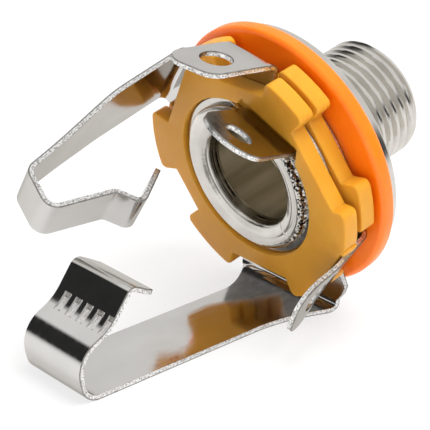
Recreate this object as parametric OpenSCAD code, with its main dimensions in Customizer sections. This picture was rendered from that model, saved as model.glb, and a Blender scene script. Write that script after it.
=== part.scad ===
// Three-contact panel jack for a 6.35 mm plug: a threaded bushing whose rolled tail clamps
// two leaf springs between insulating wafers, with a solder lug on each contact.
// +Z runs along the plug's axis to the threaded end, Z = 0 is the face that seats on the
// panel, and +X points to the arm of the tip spring. Lengths are in millimetres.

/* [Bushing] */
// Radius of the threaded barrel over the crests of the thread
thread_r = 4.7625; // [4.5:0.0125:6]
// Length of the barrel ahead of the seating face
barrel_len = 8.65; // [6:0.05:14]
// Chamfer round the front end of the barrel
barrel_chamfer = 0.45; // [0.1:0.05:0.8]
// Radius of the bore that takes the plug
bore_r = 3.25; // [3.2:0.01:3.5]
// Lead-in chamfer at the front of the bore
bore_lead = 0.4; // [0.1:0.05:0.6]
// Radius of the flange behind the panel
flange_r = 10; // [8:0.1:12]
// Thickness of the flange
flange_t = 0.8; // [0.5:0.05:1.6]
// Chamfer round the front edge of the flange
flange_chamfer = 0.2; // [0.05:0.05:0.4]
// Outer radius of the tail that carries the stack
tail_r = 4.5; // [4.3:0.05:5]
// Inner radius of the tail, thin enough to roll
tail_bore_r = 3.95; // [3.7:0.05:4.05]
// How far the mouth widens inside the rolled lip
mouth_flare = 0.25; // [0.1:0.05:0.3]
// Depth over which the mouth widens
mouth_len = 0.9; // [0.6:0.05:1.2]
// Rounding of the mouth's rim
mouth_round = 0.15; // [0.05:0.05:0.2]
// How far the rolled lip reaches out over the sleeve terminal
lip_reach = 1.42; // [1:0.02:1.5]
// Thickness of the rolled lip behind the sleeve terminal
lip_t = 0.6; // [0.45:0.05:0.8]
// How much the lip falls away from its crest to the mouth
lip_dish = 0.3; // [0.1:0.05:0.35]
// Rounding of the lip's outer edge
lip_round = 0.25; // [0.1:0.05:0.3]

/* [Front washer] */
// Radius of the front insulating washer
washer_r = 10.58; // [9:0.02:13]
// Thickness of the front insulating washer
washer_t = 1.3; // [1:0.05:2.5]
// Rounding of both of its outer edges
washer_round = 0.45; // [0.1:0.05:0.45]

/* [Wafers] */
// Distance of the wafers' flats from the axis
wafer_flat = 8; // [7.8:0.1:8.4]
// Radius over the wafers' tabs
wafer_r = 10.05; // [9.6:0.05:11]
// Thickness of each wafer
wafer_t = 1.35; // [1.3:0.05:2.5]
// Rounding of the tabs' outer corners
tab_round = 0.5; // [0.2:0.05:0.7]
// Depth of the rear wafer's pocket for the sleeve terminal
pocket_depth = 0.8; // [0.4:0.05:1]
// Radius of the hub that keeps a spring off the tail
hub_r = 5.5; // [5.2:0.05:6]
// Half angle of the free gap between the tabs at 60 degrees
free_gap_a = 12.5; // [8:0.5:18]
// Half angle of the front wafer's free gap at 240 degrees
free_gap_b = 17; // [8:0.5:20]
// Half angle of the rear wafer's free gap at 246 degrees
free_gap_c = 21; // [12:0.5:22]

/* [Springs] */
// Thickness of the springs' sheet
sheet_t = 0.4; // [0.3:0.05:0.6]
// Radius of the ring in each spring that is clamped in the stack
sheet_r = 7.7; // [7:0.1:7.8]
// Inner side of the sharp bends, on the middle of the sheet
bend_r = 0.7; // [0.5:0.05:0.9]
// Width of the solder lugs
lug_w = 4.4; // [3.6:0.1:5]
// Radius of the hole in a solder lug
lug_hole_r = 1.2; // [0.8:0.05:1.5]
// Length of a lug past the centre of its hole
lug_end = 2.75; // [2.5:0.05:3.5]
// Rounding of the corners of a lug's end
lug_round = 1.4; // [0.6:0.05:1.6]

/* [Tip spring] */
// Width of the tip spring's arm
tip_arm_w = 6.2; // [5:0.1:6.6]
// How far the root of the arm flares out on its +Y side
tip_flare_far = 2.4; // [1:0.1:2.8]
// Length of that flare behind the turn
tip_flare_far_len = 4.3; // [3:0.1:6]
// How far the root of the arm flares out beside the solder lug
tip_flare_near = 0.9; // [0.4:0.1:1.4]
// Length of that flare behind the turn
tip_flare_near_len = 7; // [4:0.1:9]
// Radius at which the tip spring's sheet turns back into its arm
tip_reach = 12.1; // [11.6:0.02:14]
// Radius of the arm at its rear bend
tip_foot = 6.6; // [6:0.05:8]
// Depth of the rear bend behind the seating face
tip_depth = 25.1; // [24.5:0.1:30]
// Width of the rear bend
tip_floor = 3.6; // [3.2:0.05:4.2]
// Depth of the tip contact's crest behind the seating face
tip_crest_depth = 19.5; // [18.5:0.1:20.5]
// Radius of the tip contact's crest, on the middle of the sheet
tip_crest = 0.25; // [0.1:0.05:0.8]
// Rounding of the tip contact's crest
tip_crest_round = 0.6; // [0.3:0.05:0.8]
// Length of the lifted end past the crest
tip_lead = 2.35; // [1.6:0.05:3]
// Angle of the tip spring's solder lug round the axis
tip_lug_turn = 306; // [300:0.5:312]
// Sideways offset of that lug
tip_lug_shift = -0.3; // [-0.6:0.1:0.8]
// Radius at which the sheet turns back into that lug
tip_lug_reach = 9.08; // [8.8:0.02:9.6]
// Outward lean of that lug
tip_lug_lean = 11; // [0:1:20]
// Length of that lug from the turn to the centre of its hole
tip_lug_len = 5.7; // [4.6:0.1:6.4]

/* [Ring spring] */
// Angle of the ring spring's arm round the axis
ring_turn = 127; // [122:0.5:132]
// Width of the ring spring's arm at its root
ring_arm_w = 6.5; // [5.5:0.1:7]
// Width of the ring spring's arm past its neck
ring_neck_w = 4; // [3.4:0.1:5]
// Depth at which the arm starts to narrow
ring_neck_start = 10; // [8:0.1:12]
// Depth at which the arm has its narrow width
ring_neck_end = 18.5; // [16:0.1:19]
// Radius at which the ring spring's sheet turns back into its arm
ring_reach = 9.95; // [9.8:0.02:11]
// Radius of the arm at its rear bend
ring_foot = 8.43; // [7.8:0.05:9]
// Depth of the rear bend behind the seating face
ring_depth = 20; // [19.5:0.1:24]
// Width of the rear bend
ring_floor = 3.2; // [2.8:0.05:3.6]
// Depth of the ring contact's crest behind the seating face
ring_crest_depth = 14.65; // [14:0.05:15.5]
// Radius of the ring contact's crest, on the middle of the sheet
ring_crest = 2.05; // [1.6:0.05:2.6]
// Rounding of the ring contact's crest
ring_crest_round = 0.6; // [0.3:0.05:0.7]
// Length of the lifted end past the crest
ring_lead = 3.25; // [2.4:0.05:4]
// Angle of the ring spring's solder lug round the axis
ring_lug_turn = 188.5; // [184:0.5:192]
// Sideways offset of that lug
ring_lug_shift = -0.2; // [-0.6:0.02:0.2]
// Radius at which the sheet turns back into that lug
ring_lug_reach = 10.12; // [10.1:0.02:11]
// Outward lean of that lug
ring_lug_lean = 16; // [5:1:25]
// Length of that lug from the turn to the centre of its hole
ring_lug_len = 3.4; // [2.8:0.05:4]
// Twist of that lug in its own plane
ring_lug_skew = -7; // [-10:0.5:0]
// How much longer that lug is on its far side, where its end was sheared at a slant
ring_lug_slant = 1.55; // [0:0.05:1.8]

/* [Sleeve terminal] */
// Thickness of the sleeve terminal
terminal_t = 0.4; // [0.3:0.05:0.5]
// Radius of its ring
terminal_r = 6.4; // [6.2:0.05:7]
// Angle of its solder lug round the axis
terminal_turn = 206; // [202:0.5:210]
// Sideways offset of that lug at its root
terminal_shift = 0.5; // [0:0.02:0.6]
// Radius at which the sheet turns back into that lug
terminal_reach = 5.6; // [5.5:0.02:5.8]
// Outward lean of that lug
terminal_lean = 35; // [20:1:45]
// Twist of that lug in its own plane
terminal_skew = 5; // [0:0.5:8]
// Width of that lug
terminal_w = 5.3; // [5.1:0.1:5.4]
// Length of that lug from the turn to the centre of its hole
terminal_len = 5.75; // [4.6:0.05:6.5]
// Length of that lug past the centre of its hole
terminal_end = 2.8; // [2.6:0.05:3.4]
// Radius of the hole in that lug
terminal_hole_r = 1.08; // [0.8:0.02:1.4]
// Rounding of the corners of its end
terminal_round = 2.5; // [1.5:0.05:2.5]

/* [Clearances] */
// Between the tail and what is stacked on it
tail_gap = 0.05; // [0.03:0.01:0.15]
// Between a wafer's hub and the spring round it
hub_gap = 0.1; // [0.05:0.01:0.2]
// Between a tab and the arm or lug beside it
side_gap = 0.3; // [0.2:0.05:0.6]
// Between the tip spring's lug and the rear wafer that it passes
lug_rest = 0.12; // [0.05:0.01:0.3]
// Between the sleeve terminal and the side of its pocket
pocket_gap = 0.1; // [0.05:0.01:0.2]
// Play between a hub and the piece in front of it
seat_gap = 0.05; // [0.02:0.01:0.1]

/* [Hidden] */
$fn = 96;
arc_steps = 6;

// Faces of the stack, each counted back from the seating face
z_flange = -flange_t;
z_washer = z_flange - washer_t;
z_tip = z_washer - sheet_t;
z_front_wafer = z_tip - wafer_t;
z_ring = z_front_wafer - sheet_t;
z_rear_wafer = z_ring - wafer_t;
z_pocket = z_rear_wafer + pocket_depth;
z_terminal = z_pocket - terminal_t;
z_lip = z_terminal - lip_t;
tip_mid = z_tip + sheet_t / 2;
ring_mid = z_ring + sheet_t / 2;
terminal_mid = z_terminal + terminal_t / 2;
stack_bore = tail_r + tail_gap;
spring_hole = hub_r + hub_gap;
terminal_fold = terminal_reach - bend_r / tan(45 + terminal_lean / 2);
step = tail_bore_r - bore_r;
lip_r = tail_r + lip_reach;

function unit(v) = v / norm(v);
function left(v) = [-v[1], v[0]];
function polar(a) = [cos(a), sin(a)];
function lerp(a, b, u) = a + (b - a) * u;

// Arc of radius r that rounds corner b between the points a and c
function corner(a, b, c, r) =
    let (
        u = unit(a - b),
        v = unit(c - b),
        half = acos(u * v) / 2,
        hub = b + unit(u + v) * r / sin(half),
        from = b + u * r / tan(half) - hub,
        to = b + v * r / tan(half) - hub,
        a0 = atan2(from[1], from[0]),
        turn = atan2(cross(from, to), from * to)
    )
    [for (i = [0 : arc_steps])
        hub + r * [cos(a0 + turn * i / arc_steps), sin(a0 + turn * i / arc_steps)]];

// Open path through points whose inner corners are rounded with the radii given
function bent(p, r) = concat(
    [p[0]],
    [for (i = [1 : len(p) - 2]) each corner(p[i - 1], p[i], p[i + 1], r[i - 1])],
    [p[len(p) - 1]]
);

// Direction across a path at point i, long enough to keep the sheet's thickness in a bend
function across(p, i) =
    i == 0 ? left(unit(p[1] - p[0])) :
    i == len(p) - 1 ? left(unit(p[i] - p[i - 1])) :
    let (
        a = left(unit(p[i] - p[i - 1])),
        b = left(unit(p[i + 1] - p[i])),
        m = unit(a + b)
    )
    m / (m * a);

// Outline of a sheet of thickness t whose middle follows path p
function ribbon(p, t) = concat(
    [for (i = [0 : len(p) - 1]) p[i] + across(p, i) * t / 2],
    [for (i = [len(p) - 1 : -1 : 0]) p[i] - across(p, i) * t / 2]
);

// Half of the angle that a strip of width w takes, with its side gaps, at radius r
function gap_half(w, r) = asin((w / 2 + side_gap) / r);

// Gap round the tip spring's lug, with so many degrees more before it and after it
function tip_lug_gap(before, after) = [
    tip_lug_turn + asin(tip_lug_shift / tip_lug_reach) + (after - before) / 2,
    gap_half(lug_w, tip_lug_reach - sheet_t) + (after + before) / 2
];

// Gaps between the tabs, as middle angle and half angle, from the tip spring's arm round
function wafer_gaps(ring_gap, lug_gap, free_gap, tip_gap) = [
    [0, gap_half(tip_arm_w, wafer_r)],
    [62.5, free_gap_a],
    ring_gap,
    lug_gap,
    free_gap,
    tip_gap,
    [360, gap_half(tip_arm_w, wafer_r)]
];

front_gaps = wafer_gaps(
    [120.5, 15.5],
    [183.5, 17],
    [242, free_gap_b],
    tip_lug_gap(4.5, 0)
);
rear_gaps = wafer_gaps(
    [ring_turn, gap_half(ring_arm_w, ring_reach - sheet_t)],
    [
        ring_lug_turn + asin(ring_lug_shift / ring_lug_reach),
        gap_half(lug_w, ring_lug_reach - sheet_t)
    ],
    [246, free_gap_c],
    tip_lug_gap(0, 4.2)
);

// Sides of the tip spring's root
tip_far = tip_arm_w / 2 + tip_flare_far;
tip_near = -tip_arm_w / 2 - tip_flare_near;

// Middle line of the tip spring's arm, from the clamped ring to the lifted end
tip_end = [
    tip_crest + tip_lead * sin(41),
    -tip_crest_depth + tip_lead * cos(41)
];
tip_path = bent(
    [
        [sheet_r - 1.5, tip_mid],
        [tip_reach, tip_mid],
        [tip_foot, -tip_depth],
        [tip_foot - tip_floor, -tip_depth],
        [tip_foot - tip_floor - 0.6, lerp(-tip_depth, -tip_crest_depth, 31 / 56)],
        [tip_crest, -tip_crest_depth],
        tip_end
    ],
    [bend_r, 1.3, 1.4, 1.5, tip_crest_round]
);

// Middle line of the ring spring's arm, from the clamped ring to the lifted end
ring_end = [
    ring_crest + ring_lead * sin(28),
    -ring_crest_depth + ring_lead * cos(28)
];
ring_path = bent(
    [
        [sheet_r - 1.5, ring_mid],
        [ring_reach, ring_mid],
        [lerp(ring_reach, ring_foot, 0.2), lerp(ring_mid, -ring_depth, 0.46)],
        [ring_foot, -ring_depth],
        [ring_foot - ring_floor, -ring_depth - 0.7],
        [ring_crest + 1.75, -ring_crest_depth - 1.1],
        [ring_crest, -ring_crest_depth],
        ring_end
    ],
    [bend_r, 20, 0.8, 1, 0.8, ring_crest_round]
);

// Flat strip of sheet bent along a path of radius and height
module leaf(path, t, w) {
    rotate([90, 0, 0])
        linear_extrude(w, center = true)
            polygon(ribbon(path, t));
}

// Distance of the wafer's hexagon from the axis at angle a
function hex_r(a) = wafer_flat / cos(a - 60 * round(a / 60));

// Points of one tab of the wafer's rim from angle a0 to angle a1, with rounded outer corners
function tab(a0, a1) =
    let (
        inset = asin(tab_round / (wafer_r - tab_round)),
        n = ceil((a1 - a0) / 4)
    )
    concat(
        [hex_r(a0) * polar(a0)],
        [for (i = [0 : 4])
            (wafer_r - tab_round) * polar(a0 + inset) + tab_round * polar(lerp(a0 - 90, a0 + inset, i / 4))],
        [for (i = [1 : n - 1]) wafer_r * polar(lerp(a0 + inset, a1 - inset, i / n))],
        [for (i = [0 : 4])
            (wafer_r - tab_round) * polar(a1 - inset) + tab_round * polar(lerp(a1 - inset, a1 + 90, i / 4))],
        [hex_r(a1) * polar(a1)]
    );

// Outline of a wafer: tabs between its gaps, and the hexagon's corners inside the gaps
function wafer_outline(gaps) = [
    for (i = [0 : len(gaps) - 2])
        let (
            a0 = gaps[i][0] + gaps[i][1],
            a1 = gaps[i + 1][0] - gaps[i + 1][1],
            next = gaps[i + 1][0] + gaps[i + 1][1]
        )
        each concat(
            tab(a0, a1),
            [for (v = [30 : 60 : 390]) if (v > a1 + 0.5 && v < next - 0.5) hex_r(v) * polar(v)]
        )
];

// Hexagonal wafer with a tab on each corner and a hub ahead of it that fills the spring
module wafer(z, gaps, seat) {
    difference() {
        union() {
            translate([0, 0, z])
                linear_extrude(wafer_t) {
                    polygon(wafer_outline(gaps));
                    rotate(tip_lug_turn)
                        translate([0, tip_lug_shift - lug_w / 2 - 3 * side_gap])
                            square([seat, lug_w + 7 * side_gap]);
                }
            translate([0, 0, z + wafer_t / 2])
                cylinder(wafer_t / 2 + sheet_t - seat_gap, r = hub_r);
        }
        translate([0, 0, z - 1])
            cylinder(wafer_t + sheet_t + 2, r = stack_bore);
    }
}

// Room that a leaning lug needs beyond its inner face, by the rest given, and past its edges
module lug_room(turn, z, t, reach, lean, shift, w, rest) {
    rotate(turn)
        translate([reach, shift, z])
            rotate([0, 90 - lean, 0])
                translate([-0.5, -w / 2 - side_gap, -t / 2 - rest])
                    cube([8.5, w + 2 * side_gap, 4]);
}

// Solder lug bent back from a sheet, with rounded corners, a slanting end and a round hole
module lug(z, t, root, reach, lean, len, end, w, round, hole_r, shift, skew, slant) {
    bend = corner([0, z], [reach, z], [reach + sin(lean), z - cos(lean)], bend_r);
    flap = norm(bend[arc_steps] - [reach, z]);
    translate([0, shift, 0]) {
        leaf(concat([[root, z]], bend, [
            [reach, z] + (flap + 0.4) * [sin(lean), -cos(lean)]
        ]), t, w);
        translate([reach, 0, z])
            rotate([0, 90 - lean, 0])
                linear_extrude(t, center = true)
                    difference() {
                        rotate(skew)
                            polygon(bent([
                                [flap, -w / 2],
                                [len + end + slant / 2, -w / 2],
                                [len + end - slant / 2, w / 2],
                                [flap, w / 2]
                            ], [round, round]));
                        rotate(skew)
                            translate([len, 0])
                                circle(hole_r);
                    }
    }
}

// Turned bushing: threaded barrel, flange and a tail that is flared and rolled over the stack
module bushing() {
    color("silver")
        difference() {
            rotate_extrude()
                polygon(bushing_section());
            translate([0, 0, -0.02])
                lug_room(terminal_turn, z_terminal, 0, terminal_fold, terminal_lean,
                    terminal_shift, terminal_w + 1, 0);
        }
}

// Half section of the bushing: bore, widened mouth, rolled lip, tail, flange and barrel
function bushing_section() =
    let (
        rim = [tail_bore_r + mouth_flare, z_lip + lip_dish],
        crest = [lip_r - 1.4 * lip_round, z_lip],
        brow = [lip_r, z_lip + 0.6 * lip_round]
    )
    concat(
        [[bore_r, z_flange + step / 3], [tail_bore_r, z_flange - step * 2 / 3]],
        bent(
            [[tail_bore_r, rim[1] + mouth_len], rim, crest, brow, [lip_r, z_terminal]],
            [mouth_round, lip_round, lip_round]
        ),
        [
            [tail_r, z_terminal],
            [tail_r, z_flange],
            [flange_r, z_flange],
            [flange_r, -flange_chamfer],
            [flange_r - flange_chamfer, 0],
            [thread_r, 0],
            [thread_r, barrel_len - barrel_chamfer],
            [thread_r - barrel_chamfer, barrel_len],
            [bore_r + bore_lead, barrel_len],
            [bore_r, barrel_len - bore_lead]
        ]
    );

// Moulded washer that keeps the springs off the flange
module front_washer() {
    color("darkorange")
        rotate_extrude() {
            translate([stack_bore, z_washer])
                square([washer_r - washer_round - stack_bore, washer_t]);
            translate([stack_bore, z_washer + washer_round])
                square([washer_r - stack_bore, washer_t - 2 * washer_round]);
            for (z = [z_washer + washer_round, z_flange - washer_round]) {
                translate([washer_r - washer_round, z])
                    circle(washer_round);
            }
        }
}

// Leaf spring of the tip contact: clamped ring, hooked arm and solder lug
module tip_spring() {
    color("gainsboro") {
        translate([0, 0, z_tip])
            linear_extrude(sheet_t)
                difference() {
                    union() {
                        circle(sheet_r);
                        polygon([
                            [0, 0],
                            [4, -6.6],
                            [tip_reach - 3.2, tip_near - 1.8],
                            [tip_reach - 2.6, tip_near - 1.95],
                            [tip_reach - 1.8, tip_near - 1.55],
                            [tip_reach - 1.5 * bend_r, tip_near],
                            [tip_reach - 1.5 * bend_r, tip_far],
                            [tip_reach - 2.4, tip_far + 1],
                            [tip_reach - 4, tip_far + 1.3],
                            [3, 7]
                        ]);
                    }
                    circle(spring_hole);
                }
        intersection() {
            leaf(tip_path, sheet_t, tip_arm_w + 2 * tip_flare_far);
            tip_width();
        }
        rotate(tip_lug_turn)
            lug(tip_mid, sheet_t, sheet_r - 1.5, tip_lug_reach, tip_lug_lean, tip_lug_len,
                lug_end, lug_w, lug_round, lug_hole_r, tip_lug_shift, 0, 0);
    }
}

// Front view of the tip spring's arm: even width, flared out on both sides at the root
module tip_width() {
    far = [for (i = [0 : 8])
        [
            tip_arm_w / 2 + tip_flare_far * pow(i / 8, 1.6),
            z_tip - tip_flare_far_len * (1 - i / 8)
        ]
    ];
    near = [for (i = [8 : -1 : 0])
        [
            -tip_arm_w / 2 - tip_flare_near * pow(i / 8, 2),
            z_tip - tip_flare_near_len * (1 - i / 8)
        ]
    ];
    rotate([90, 0, 90])
        linear_extrude(tip_reach + 2)
            polygon(concat(
                [[-tip_arm_w / 2, -tip_depth - 2], [tip_arm_w / 2, -tip_depth - 2]],
                far,
                [[tip_far, 0], [tip_near, 0]],
                near
            ));
}

// Front wafer, between the two springs
module front_wafer() {
    color("goldenrod", 0.8)
        wafer(z_front_wafer, front_gaps, wafer_flat - 1);
}

// Leaf spring of the ring contact: clamped ring, necked and hooked arm, solder lug
module ring_spring() {
    color("gainsboro") {
        translate([0, 0, z_ring])
            linear_extrude(sheet_t)
                difference() {
                    circle(sheet_r);
                    circle(spring_hole);
                }
        rotate(ring_turn)
            intersection() {
                leaf(ring_path, sheet_t, ring_arm_w);
                union() {
                    ring_width();
                    translate([-1, -ring_neck_w / 2, -ring_depth - 2])
                        cube([ring_foot, ring_neck_w, ring_depth - 5]);
                }
            }
        rotate(ring_lug_turn)
            lug(ring_mid, sheet_t, sheet_r - 1.5, ring_lug_reach, ring_lug_lean, ring_lug_len,
                lug_end, lug_w, lug_round, lug_hole_r, ring_lug_shift, ring_lug_skew,
                ring_lug_slant);
    }
}

// Front view of the ring spring's arm: full width at the root, narrowed in a smooth curve
module ring_width() {
    side = [for (i = [0 : 16])
        [
            lerp(ring_arm_w, ring_neck_w, (1 - cos(i * 180 / 16)) / 2) / 2,
            -lerp(ring_neck_start, ring_neck_end, i / 16)
        ]
    ];
    outline = concat(
        [[ring_arm_w / 2 + 1, 0], [ring_arm_w / 2 + 1, -ring_neck_start + 2],
         [ring_arm_w / 2, -ring_neck_start + 2]],
        side,
        [[ring_neck_w / 2, -ring_depth - 2]]
    );
    translate([sheet_r - 2, 0, 0])
        rotate([90, 0, 90])
            linear_extrude(ring_reach)
                polygon(concat(outline, [for (i = [len(outline) - 1 : -1 : 0])
                    [-outline[i][0], outline[i][1]]]));
}

// Rear wafer, with a pocket behind for the sleeve terminal and a notch that its lug sits in
module rear_wafer() {
    color("goldenrod", 0.8)
        difference() {
            wafer(z_rear_wafer, rear_gaps, tip_lug_reach + 0.5);
            lug_room(tip_lug_turn, tip_mid, sheet_t, tip_lug_reach, tip_lug_lean,
                tip_lug_shift, lug_w, lug_rest);
            translate([0, 0, z_rear_wafer - 1])
                cylinder(pocket_depth + 1, r = terminal_r + pocket_gap);
            rotate(terminal_turn)
                translate([0, terminal_shift - terminal_w / 2 - side_gap, z_rear_wafer - 1])
                    cube([terminal_r + side_gap, terminal_w + 2 * side_gap, pocket_depth + 1]);
        }
}

// Stamped ring under the rolled lip, cut straight where its solder lug folds back
module sleeve_terminal() {
    color("lightgray")
        difference() {
            union() {
                translate([0, 0, z_terminal])
                    linear_extrude(terminal_t)
                        difference() {
                            circle(terminal_r);
                            rotate(terminal_turn)
                                translate([terminal_fold, -terminal_r])
                                    square(2 * terminal_r);
                        }
                rotate(terminal_turn)
                    lug(terminal_mid, terminal_t, tail_r, terminal_reach, terminal_lean,
                        terminal_len, terminal_end, terminal_w, terminal_round,
                        terminal_hole_r, terminal_shift, terminal_skew, 0);
            }
            translate([0, 0, z_terminal - 1])
                cylinder(terminal_t + 2, r = stack_bore);
        }
}

bushing();
front_washer();
tip_spring();
front_wafer();
ring_spring();
rear_wafer();
sleeve_terminal();
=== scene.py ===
"""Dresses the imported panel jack: turned bushing, insulating washer and wafers, two formed
contact springs and the sleeve terminal. Sizes are in millimetres and go into the meshes in
metres. +Z is the plug's axis towards the thread, and Z = 0 is the flange's seating face."""

import math

import bpy
import numpy as np
from mathutils import Matrix
from mathutils.geometry import delaunay_2d_cdt


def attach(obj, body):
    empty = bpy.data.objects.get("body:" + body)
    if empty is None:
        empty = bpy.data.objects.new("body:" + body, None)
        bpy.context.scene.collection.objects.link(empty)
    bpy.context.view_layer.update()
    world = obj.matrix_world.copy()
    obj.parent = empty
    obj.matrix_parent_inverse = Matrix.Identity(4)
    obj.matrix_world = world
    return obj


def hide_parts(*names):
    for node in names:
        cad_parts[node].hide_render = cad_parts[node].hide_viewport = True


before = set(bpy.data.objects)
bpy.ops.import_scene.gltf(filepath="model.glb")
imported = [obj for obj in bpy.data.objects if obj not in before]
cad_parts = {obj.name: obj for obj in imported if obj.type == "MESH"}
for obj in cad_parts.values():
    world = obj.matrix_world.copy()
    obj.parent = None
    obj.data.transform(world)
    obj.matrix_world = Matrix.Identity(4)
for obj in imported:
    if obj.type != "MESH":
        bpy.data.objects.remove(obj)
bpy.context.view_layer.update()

# Bushing: turned from brass bar, bright nickel plated, and fixed by rolling its thin tail
# out over the sleeve terminal. The thread is cut, the flange seats on the panel, and the
# rolled lip is left torn on one side.
MM = 0.001  # metres
THREAD_CREST, THREAD_DEPTH, THREAD_PITCH, THREAD_START = 4.7625, 0.36, 0.794, 0.95
BARREL_END, FLANGE_R, FLANGE_BACK, FLANGE_EDGE = 8.65, 10.0, -0.8, 0.2
BORE_R, TAIL_BORE_R, TAIL_R = 3.25, 3.95, 4.5
LIP_FRONT, LIP_BACK, LIP_R = -5.2, -5.8, 5.92
FOLD_TURN, FOLD_CUT, FOLD_SLOPE = 206, 5.21, 0.7
TEETH_TURN, TEETH_R, TEETH_DEPTH = 262, 5.62, 0.17
CREASE_R, CREASE_DEPTH, CREASE_W = 5.05, 0.13, 0.07
CRACK_TURN, CRACK_R, CRACK_DEPTH, CRACK_W = 313.5, 4.9, 0.10, 0.045
TURN = 432


def colour(code):
    """Linear RGBA of an sRGB hex code: c / 12.92 up to 0.04045, else ((c + 0.055) / 1.055)^2.4."""
    s = np.array([int(code[i:i + 2], 16) for i in (1, 3, 5)]) / 255
    return [*np.where(s <= 0.04045, s / 12.92, ((s + 0.055) / 1.055) ** 2.4), 1.0]


def add(tree, kind, inputs=None, **settings):
    """Adds a node with its settings; an input that is a socket is linked, any other is set."""
    node = tree.nodes.new(kind)
    for key, value in settings.items():
        setattr(node, key, value)
    for key, value in (inputs or {}).items():
        if isinstance(value, bpy.types.NodeSocket):
            tree.links.new(value, node.inputs[key])
        else:
            node.inputs[key].default_value = value
    return node


def material(name):
    """An empty node material and the node that its surface goes to."""
    made = bpy.data.materials.new(name)
    made.use_nodes = True
    made.node_tree.nodes.clear()
    return made, made.node_tree, made.node_tree.nodes.new("ShaderNodeOutputMaterial")


def plated(tree, surface, tint, lines, gloss, strength, sheen, marks=None):
    """Finish of a plated metal. Its roughness runs with the lines between the two values of
    `gloss`, the lines stand out by up to 0.02 mm, and deeper marks may lie over them."""
    rough = add(tree, "ShaderNodeMapRange", {
        "Value": lines, "From Min": 0.3, "From Max": 0.7, "To Min": gloss[0], "To Max": gloss[1]})
    relief = add(tree, "ShaderNodeBump", {
        "Height": lines, "Strength": strength, "Distance": 0.02 * MM})
    if marks is not None:
        relief = add(tree, "ShaderNodeBump", {
            "Height": marks, "Strength": 1.0, "Distance": 0.8 * MM, "Normal": relief.outputs[0]})
    plate = add(tree, "ShaderNodeBsdfPrincipled", {
        "Base Color": tint, "Metallic": 1.0, "Roughness": rough.outputs[0],
        "Specular Tint": sheen, "Normal": relief.outputs[0]})
    tree.links.new(plate.outputs[0], surface.inputs["Surface"])


def waves(size):
    """Waves in a metre of a pattern whose waves are so many millimetres long."""
    return 1 / (size * MM)


def body(name, points, faces, finishes, sharp=35, counts=None):
    """A mesh object from points in millimetres, smooth except across edges over `sharp` degrees.
    The counts say how many of the faces in turn take each finish."""
    mesh = bpy.data.meshes.new(name)
    mesh.from_pydata((np.asarray(points) * MM).tolist(), [], faces)
    mesh.polygons.foreach_set("use_smooth", np.ones(len(mesh.polygons), bool))
    mesh.set_sharp_from_angle(angle=math.radians(sharp))
    for finish in finishes:
        mesh.materials.append(finish)
    mesh.polygons.foreach_set("material_index", np.repeat(
        np.arange(len(finishes)), counts or [len(faces)]))
    mesh.update()
    made = bpy.data.objects.new(name, mesh)
    bpy.context.scene.collection.objects.link(made)
    return made


def grid_faces(rows, columns):
    """Quads of a grid of rows x columns points that is joined end to end both ways."""
    i, j = np.arange(rows)[:, None], np.arange(columns)[None, :]
    k, l = (i + 1) % rows, (j + 1) % columns
    quads = np.stack([i * columns + j, k * columns + j, k * columns + l, i * columns + l], -1)
    return quads.reshape(-1, 4).tolist()


def arc(centre, radius, start, end, steps):
    """Points on a circle: centre + radius (cos a, sin a), with a in degrees from start to end."""
    a = np.radians(np.linspace(start, end, steps))
    return np.column_stack([centre[0] + radius * np.cos(a), centre[1] + radius * np.sin(a)])


def line(start, end, steps):
    """Evenly spaced points from start to end."""
    return np.linspace(start, end, steps)


def unit(v):
    """A vector divided by its length."""
    return v / np.linalg.norm(v)


def bent(corners, radii):
    """Path through corners of which the inner ones are rounded: each arc touches both sides."""
    path = [np.array([corners[0]], float)]
    for a, b, c, r in zip(corners, corners[1:], corners[2:], radii):
        a, b, c = map(lambda p: np.array(p, float), (a, b, c))
        u, v = unit(a - b), unit(c - b)
        half = math.acos(np.clip(u @ v, -1, 1)) / 2
        hub = b + unit(u + v) * r / math.sin(half)
        start, end = b + u * r / math.tan(half) - hub, b + v * r / math.tan(half) - hub
        a0 = math.atan2(start[1], start[0])
        sweep = math.atan2(start[0] * end[1] - start[1] * end[0], start @ end)
        steps = max(3, math.ceil(abs(sweep) / math.radians(7)))
        path.append(hub + r * np.column_stack([
            np.cos(a0 + sweep * np.arange(steps + 1) / steps),
            np.sin(a0 + sweep * np.arange(steps + 1) / steps)]))
    path.append(np.array([corners[-1]], float))
    return np.concatenate(path)


def refined(path, spacing):
    """The path with points added along it, so that none are further apart than the spacing."""
    parts = [line(a, b, math.ceil(np.hypot(*(b - a)) / spacing) + 1)[:-1]
             for a, b in zip(path, path[1:]) if np.hypot(*(b - a)) > 1e-9]
    return np.concatenate(parts + [path[-1:]])


def random_ring(count, seed, width):
    """Noise round a closed ring: the mean of `width` neighbours, times the root of the width."""
    values = np.random.default_rng(seed).uniform(-1, 1, count)
    return np.mean([np.roll(values, k) for k in range(width)], 0) * math.sqrt(width)


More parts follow.
